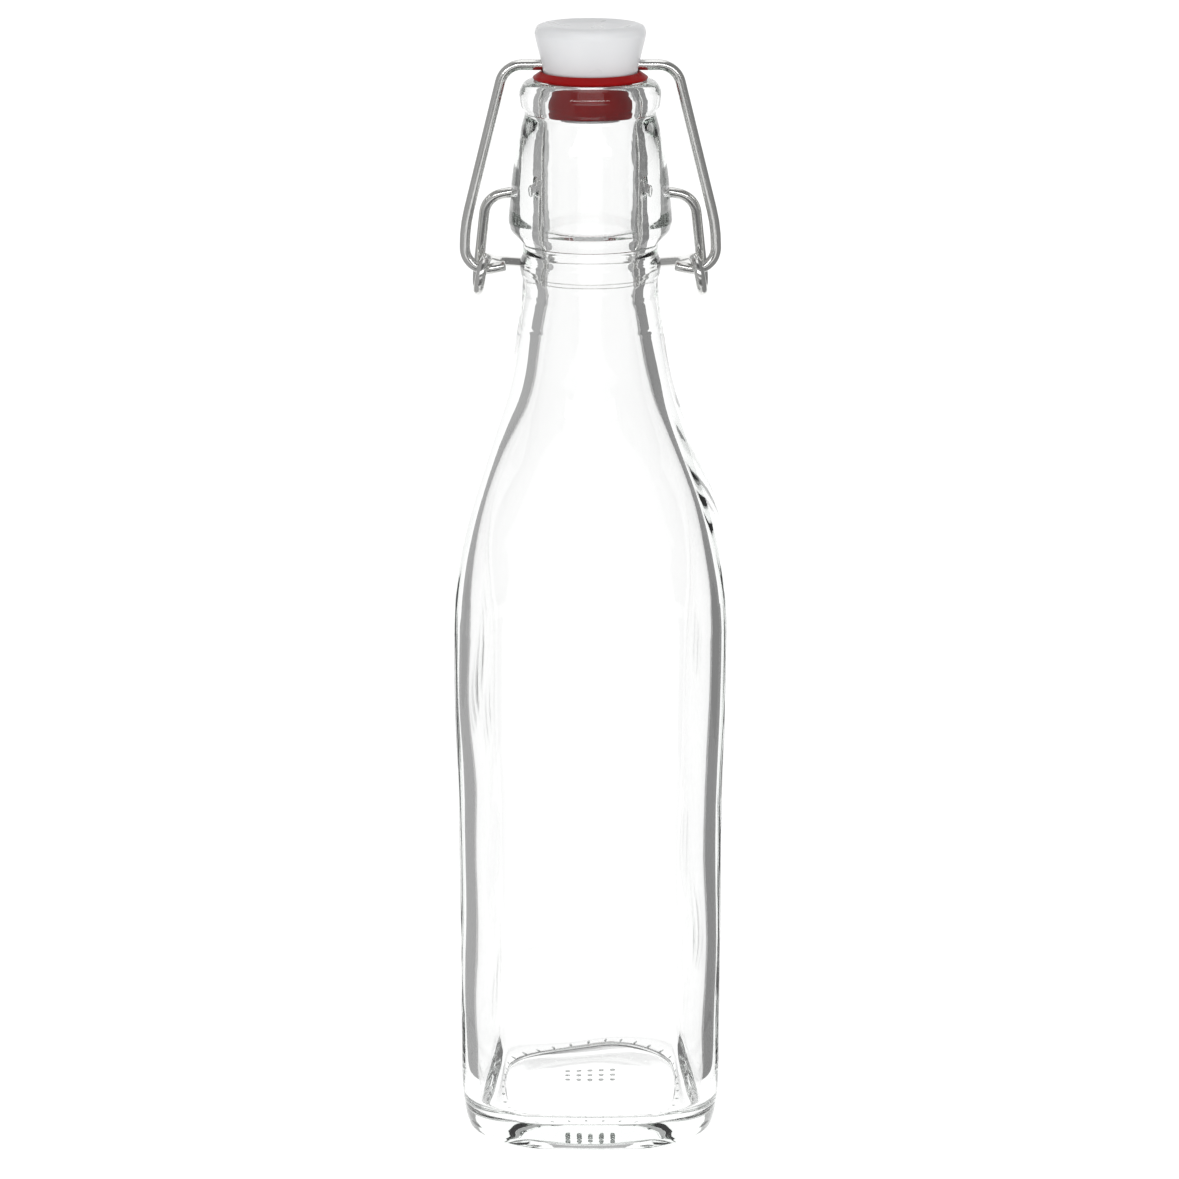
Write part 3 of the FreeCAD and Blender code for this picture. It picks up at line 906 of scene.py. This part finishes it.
@dataclass
class RoundWire:
    """Round wire along straight runs joined by tangent arcs, mirrored about the YZ plane."""

    radius: float = 1.2 * MM
    around: int = 28
    arc_step: float = math.radians(6)
    chamfer: float = 0.25 * MM
    longest_run: float = 4 * MM

    def centreline(self, half: Sequence[Sequence[float]], radii: Sequence[float]) -> np.ndarray:
        """Follow the +X half of a path and its mirror image.

        Args:
            half: Corner points of the half path, from its free end to its last corner.
            radii: Bend radius at each corner after the free end.

        Returns:
            Points along the whole centreline.
        """
        side = [np.array(p, float) for p in half]
        points = side + [p * (-1, 1, 1) for p in reversed(side)]
        bends = [*radii, *reversed(radii)]
        return rounded_path(
            points, bends, lambda radius, turn: max(2, math.ceil(turn / self.arc_step)))

    def build(self, name: str, line: np.ndarray, material: Material) -> Object:
        """Wrap the centreline in a round skin with chamfered ends and a UV map in metres."""
        line = self.with_ends(line)
        steps = np.linalg.norm(np.diff(line, axis=0), axis=1)
        travel = np.concatenate([[0.0], np.cumsum(steps)])
        tangents = np.gradient(line, travel, axis=0)
        tangents /= np.linalg.norm(tangents, axis=1)[:, None]
        side = np.cross(tangents[0], (0, 1, 0))
        side /= np.linalg.norm(side)
        rings = np.empty((len(line), self.around, 3))
        angles = turn_angles(self.around)
        girth = np.full(len(line), self.radius)
        girth[[0, -1]] -= self.chamfer
        for index, (place, tangent) in enumerate(zip(line, tangents)):
            side = side - tangent * float(side @ tangent)
            side /= np.linalg.norm(side)
            other = np.cross(tangent, side)
            rings[index] = place + girth[index] * (
                np.cos(angles)[:, None] * side + np.sin(angles)[:, None] * other)
        wire = make_object(name, *capped_tube(rings, line[0], line[-1]), material)
        self.map_skin(wire, travel)
        return wire

    def with_ends(self, line: np.ndarray) -> np.ndarray:
        """Add a station one chamfer in from each end and divide long runs."""
        dense = divided(line, lambda *place: self.longest_run)
        first = dense[1] - dense[0]
        last = dense[-2] - dense[-1]
        near_start = dense[0] + first / np.linalg.norm(first) * self.chamfer
        near_end = dense[-1] + last / np.linalg.norm(last) * self.chamfer
        return np.array([dense[0], near_start, *dense[1:-1], near_end, dense[-1]])

    def map_skin(self, wire: Object, travel: np.ndarray) -> None:
        """Lay a UV map along and around the wire, both in metres."""
        mesh = wire.data
        layer = mesh.uv_layers.new(name="wire")
        rings = len(travel)
        girth = TAU * self.radius
        for face in mesh.polygons:
            corners = [mesh.loops[i].vertex_index for i in face.loop_indices]
            turns = [v % self.around for v in corners if v < rings * self.around]
            wraps = bool(turns) and max(turns) - min(turns) > 1
            for loop, vertex in zip(face.loop_indices, corners):
                if vertex >= rings * self.around:
                    layer.data[loop].uv = (travel[0 if vertex == rings * self.around else -1], 0)
                    continue
                turn = vertex % self.around
                if wraps and turn == 0:
                    turn = self.around
                layer.data[loop].uv = (travel[vertex // self.around], girth * turn / self.around)


@dataclass
class LeverWire:
    """Lever: ends in the dimples, an eye on each side and the thumb loop behind the neck."""

    pivot_z: float = 225.7 * MM
    end_x: float = 13.0 * MM
    jog_x: float = 18.0 * MM
    shoulder: Pair = (23.6 * MM, 224.6 * MM)
    eye_radius: float = 3.6 * MM
    eye_y: float = -1.0 * MM
    eye_z: float = 207.1 * MM
    eye_corners: int = 7
    eye_outer: float = 25.75 * MM
    eye_inner: float = 23.1 * MM
    loop_slope: float = math.radians(14)
    loop_side: Pair = (22.0 * MM, 9.5 * MM)
    loop_corner: Pair = (12.5 * MM, 23.4 * MM)
    jog_bend: float = 7 * MM
    arm_bend: float = 5 * MM
    loop_bend: float = 12 * MM

    def eye(self) -> list[Point]:
        """Corners of the eye, from the arm's angle on to the thumb loop's slope."""
        away = math.hypot(self.eye_y, self.shoulder[1] - self.eye_z)
        arrival = (math.atan2(self.eye_z - self.shoulder[1], self.eye_y)
                   + math.asin(self.eye_radius / away))
        turn = arrival + self.loop_slope + TAU
        reach = self.eye_radius / math.cos(turn / self.eye_corners / 2)
        corners = []
        for index in range(self.eye_corners):
            share = (index + 0.5) / self.eye_corners
            angle = arrival + TAU / 4 - turn * share
            across = self.eye_outer - (self.eye_outer - self.eye_inner) * share**2.5
            corners.append((
                across, self.eye_y + reach * math.cos(angle), self.eye_z + reach * math.sin(angle)))
        return corners

    def loop_point(self, across: float, back: float) -> Point:
        """Corner of the thumb loop, on its sloping plane."""
        top_y = self.eye_y + self.eye_radius * math.sin(self.loop_slope)
        top_z = self.eye_z + self.eye_radius * math.cos(self.loop_slope)
        return across, back, top_z - (back - top_y) * math.tan(self.loop_slope)

    def build(self, wire: RoundWire, material: Material) -> None:
        """Make the lever and settle it."""
        half = [
            (self.end_x, 0, self.pivot_z),
            (self.jog_x, 0, self.pivot_z),
            (self.shoulder[0], 0, self.shoulder[1]),
            *self.eye(),
            self.loop_point(*self.loop_side),
            self.loop_point(*self.loop_corner),
        ]
        bends = [self.jog_bend, self.arm_bend, *[0.94 * self.eye_radius] * self.eye_corners,
                 self.loop_bend, self.loop_bend]
        piece = wire.build("lever_wire_drawn", wire.centreline(half, bends), material)
        settle(piece, Body.LEVER, Slot.STEEL_WIRE, "lever_wire")


@dataclass
class BailWire:
    """Bail: crossbar through the stopper, two arms and a hook at the foot of each."""

    hook_y: float = -1.0 * MM
    hook_z: float = 208.1 * MM
    crossbar_z: float = 254.3 * MM
    top_corner: float = 19.2 * MM
    arm_x: float = 28.5 * MM
    arm_bend_z: float = 217.7 * MM
    hook_corner_z: float = 207.05 * MM
    end: Pair = (19.3 * MM, 209.0 * MM)
    bends: Point = (4.9 * MM, 34 * MM, 5 * MM)

    def on_plane(self, across: float, height: float) -> Point:
        """Point on the plane that leans from the hooks to the crossbar."""
        lean = -self.hook_y / (self.crossbar_z - self.hook_z)
        return across, self.hook_y + (height - self.hook_z) * lean, height

    def build(self, wire: RoundWire, material: Material) -> None:
        """Make the bail and settle it."""
        half = [
            self.on_plane(*self.end),
            self.on_plane(self.arm_x, self.hook_corner_z),
            self.on_plane(self.arm_x, self.arm_bend_z),
            self.on_plane(self.top_corner, self.crossbar_z),
        ]
        piece = wire.build("bail_wire_drawn", wire.centreline(half, self.bends), material)
        settle(piece, Body.BAIL, Slot.STEEL_WIRE, "bail_wire")


@dataclass
class StopperHead:
    """White stopper: flared head with a dished top, cross hole, and the stem under it."""

    stem: float = 5.0 * MM
    stem_lip: float = 6.5 * MM
    stem_bottom: float = 241.5 * MM
    seat: float = 252.45 * MM
    foot: float = 10.65 * MM
    widest: float = 12.5 * MM
    top: float = 263.4 * MM
    plug_bottom: float = 244.2 * MM
    crossbar_z: float = 254.3 * MM
    hole: float = 1.26 * MM
    hole_around: int = 32
    around: int = 144

    def outline(self) -> np.ndarray:
        """Outline from the stem's end up to the middle of the dished top."""
        fine = 0.1 * MM
        corners = [
            (0, self.stem_bottom, 0),
            (5.4 * MM, self.stem_bottom + 0.1 * MM, 1.2 * MM),
            (self.stem_lip, 242.9 * MM, 1.2 * MM),
            (self.stem_lip, self.plug_bottom - fine, 0.25 * MM),
            (self.stem, self.plug_bottom - fine, 0.2 * MM),
            (self.stem, self.seat, 0.2 * MM),
            (self.foot - 0.2 * MM, self.seat, 0.3 * MM),
            (11.35 * MM, 256.6 * MM, 30 * MM),
            (self.widest + 0.02 * MM, 261.3 * MM, 1.6 * MM),
            (12.1 * MM, 262.9 * MM, 1.1 * MM),
            (10.5 * MM, self.top + 0.12 * MM, 1.8 * MM),
            (7.6 * MM, 262.75 * MM, 5 * MM),
            (0, 262.35 * MM, 0),
        ]
        return divided(rounded_outline(corners, 0.25 * MM), lambda across, height: 0.7 * MM)

    def build(self, material: Material) -> None:
        """Turn the stopper, drill its cross hole and settle it."""
        piece = lathe("stopper_head", self.outline(), self.around, material)
        angles = turn_angles(self.hole_around)
        reach = self.widest + 2 * MM
        rings = np.array([
            [(x, self.hole * math.cos(a), self.crossbar_z + self.hole * math.sin(a)) for a in angles]
            for x in (-reach, reach)])
        skin = capped_tube(rings, (-reach, 0, self.crossbar_z), (reach, 0, self.crossbar_z))
        drill = make_object("drill", *skin, material)
        cut(piece, drill, math.radians(35))
        settle(piece, Body.STOPPER, Slot.WHITE_PLASTIC, "stopper")


@dataclass
class RubberGasket:
    """Red gasket: a plug for the bore under a bevelled flange."""

    bore: float = 5.1 * MM
    plug: float = 9.4 * MM
    plug_bottom: float = 244.2 * MM
    flange: float = 12.95 * MM
    rim: float = 251 * MM
    seat: float = 252.45 * MM
    foot: float = 10.65 * MM
    around: int = 144

    def outline(self) -> np.ndarray:
        """Closed outline, counter-clockwise from the bore's lower edge."""
        corners = [
            (self.bore, self.plug_bottom + 2 * MM, 0),
            (self.bore, self.plug_bottom, 0.2 * MM),
            (self.plug, self.plug_bottom, 2.0 * MM),
            (self.plug, 250.2 * MM, 0.5 * MM),
            (10.3 * MM, self.rim + 0.15 * MM, 0.3 * MM),
            (12.65 * MM, self.rim + 0.15 * MM, 0.12 * MM),
            (self.flange + 0.02 * MM, 251.6 * MM, 0.18 * MM),
            (self.foot + 0.3 * MM, self.seat + 0.55 * MM, 0.2 * MM),
            (self.foot + 0.1 * MM, self.seat - 0.1 * MM, 0.1 * MM),
            (self.bore, self.seat - 0.1 * MM, 0.2 * MM),
            (self.bore, self.plug_bottom + 2 * MM, 0),
        ]
        outline = divided(rounded_outline(corners, 0.12 * MM), lambda across, height: 0.7 * MM)
        return outline[:-1]

    def build(self, material: Material) -> None:
        """Turn the gasket and settle it."""
        piece = lathe_ring("gasket_rubber", self.outline(), self.around, material)
        settle(piece, Body.STOPPER, Slot.RED_RUBBER, "gasket")


# ---------------------------------------------------------------- studio


@dataclass
class Studio:
    """Light table, soft light and the camera, with cards that draw the edges of glass and metal."""

    camera_place: Point = (-0.0002, -0.700, 0.347)
    camera_pitch: float = math.radians(17.1)
    lens: float = 95.18
    sky_tone: float = 0.40
    table_glow: float = 1.11
    backdrop_glow: float = 1.11
    card_tone: float = 0.22
    pale_tone: float = 0.36
    room_tone: float = 0.10

    def build(self) -> None:
        """Set the camera, the sky, the table, the cards and the lamps."""
        camera = self.camera()
        self.sky()
        self.table()
        self.cards(camera)
        self.lamps(camera)
        scene = bpy.context.scene
        scene.view_settings.view_transform = "Standard"
        scene.cycles.max_bounces = 24
        scene.cycles.glossy_bounces = 16
        scene.cycles.transmission_bounces = 20

    def camera(self) -> Object:
        """Make the scene's camera."""
        data = bpy.data.cameras.new("camera")
        data.lens = self.lens
        data.sensor_width = 36
        data.clip_start, data.clip_end = 0.05, 50
        camera = bpy.data.objects.new("camera", data)
        camera.matrix_world = self.camera_matrix()
        bpy.context.scene.collection.objects.link(camera)
        bpy.context.scene.camera = camera
        return camera

    def camera_matrix(self) -> Matrix:
        """Place and direction of the camera in the world."""
        tilt = Matrix.Rotation(TAU / 4 - self.camera_pitch, 4, "X")
        return Matrix.Translation(self.camera_place) @ tilt

    def sky(self) -> None:
        """Even pale light from all round."""
        world = bpy.data.worlds.new("studio_walls")
        world.use_nodes = True
        background = world.node_tree.nodes["Background"]
        background.inputs["Color"].default_value = (1, 1, 1, 1)
        background.inputs["Strength"].default_value = self.sky_tone
        bpy.context.scene.world = world

    def glowing(self, name: str, strength: float) -> Material:
        """Material that glows evenly, as a lit diffuser does."""
        material, tree, output = new_material(name)
        glow = add_node(
            tree, "ShaderNodeEmission", values={"Color": (1, 1, 1, 1), "Strength": strength})
        tree.links.new(glow.outputs["Emission"], output.inputs["Surface"])
        return material

    def table(self) -> None:
        """Wide white light table."""
        half, level = 12.0, -0.02 * MM
        points = [(x, y, level) for x, y in ((-half, -half), (half, -half), (half, half), (-half, half))]
        glow = self.glowing("white_light_table", self.table_glow)
        make_object("floor", np.array(points), [(0, 1, 2, 3)], glow)

    def cards(self, camera: Object) -> None:
        """Cards that only glass and metal see: grey ones beside, a white one behind, dark ones in front."""
        grey = self.glowing("grey_card", self.card_tone)
        pale = self.glowing("pale_card", self.pale_tone)
        white = self.glowing("white_card", self.backdrop_glow)
        dark = self.glowing("dark_room", self.room_tone)
        low, high, level = -0.45, 0.6, 1 * MM
        side = [(-0.12, low, -0.5), (-0.12, high, -0.5), (-0.34, high, -1.15), (-0.34, low, -1.15)]
        flat = [(-0.055, 0.03, level), (-0.33, 0.50, level), (-0.6, 0.50, level),
                (-0.6, -0.12, level), (-0.050, -0.12, level)]
        standing = {
            "card_left": (side, pale),
            "card_right": ([(-x, y, z) for x, y, z in side], grey),
            "card_behind": (
                [(-2.5, 0.2, -3.8), (2.5, 0.2, -3.8), (2.5, 3.2, -3.2), (-2.5, 3.2, -3.2)], white),
            "card_front": (
                [(-1.5, -0.4, 0.35), (1.5, -0.4, 0.35), (1.5, 1.6, 0.35), (-1.5, 1.6, 0.35)], dark),
        }
        lying = {
            "card_flat_left": (flat, pale),
            "card_flat_right": ([(-x, y, z) for x, y, z in reversed(flat)], grey),
            "card_flat_front": (
                [(x, y, level) for x, y in ((-0.35, -0.68), (0.35, -0.68), (0.35, -0.13), (-0.35, -0.13))],
                dark),
        }
        for name, (points, material) in {**standing, **lying}.items():
            card = make_object(name, np.array(points), [tuple(range(len(points)))], material)
            card.parent = camera
            if name in lying:
                card.matrix_parent_inverse = self.camera_matrix().inverted()
            card.visible_camera = name == "card_behind"
            card.visible_transmission = material is not dark
            card.visible_diffuse = False
            card.visible_shadow = False

    def lamps(self, camera: Object) -> None:
        """Two tall soft boxes behind the camera and a broad one overhead."""
        for side, across in (("left", -0.30), ("right", 0.30)):
            place = Vector((across, 0.12, 0.25))
            self.soft_box(f"soft_box_{side}", camera, place, (0.13, 0.7), 1.8)
        self.soft_box("soft_box_top", camera, Vector((0, 0.95, -0.55)), (0.9, 0.9), 2.2)

    def soft_box(self, name: str, camera: Object, place: Vector, size: Pair,
                 power: float) -> None:
        """Area lamp in the camera's frame that points at the closure."""
        data = bpy.data.lights.new(name, "AREA")
        data.shape = "RECTANGLE"
        data.size, data.size_y = size
        data.energy = power
        lamp = bpy.data.objects.new(name, data)
        bpy.context.scene.collection.objects.link(lamp)
        lamp.parent = camera
        lamp.visible_transmission = False
        target = Vector((0, 0.12, -0.72))
        facing = (place - target).to_track_quat("Z", "Y").to_matrix().to_4x4()
        lamp.matrix_local = Matrix.Translation(place) @ facing


def main() -> None:
    """Build the studio and each sub-assembly in order."""
    logging.basicConfig(level=logging.INFO, format="%(name)s: %(message)s")
    Studio().build()
    glass = MouldedGlass().material()
    steel = DrawnSteel().material()
    BottleGlass().build(glass)
    BaseMarks().build(FrostedMark().material())
    wire = RoundWire()
    LeverWire().build(wire, steel)
    BailWire().build(wire, steel)
    StopperHead().build(WHITE_PLASTIC.material())
    RubberGasket().build(RED_RUBBER.material())


if __name__ == "__main__":
    main()
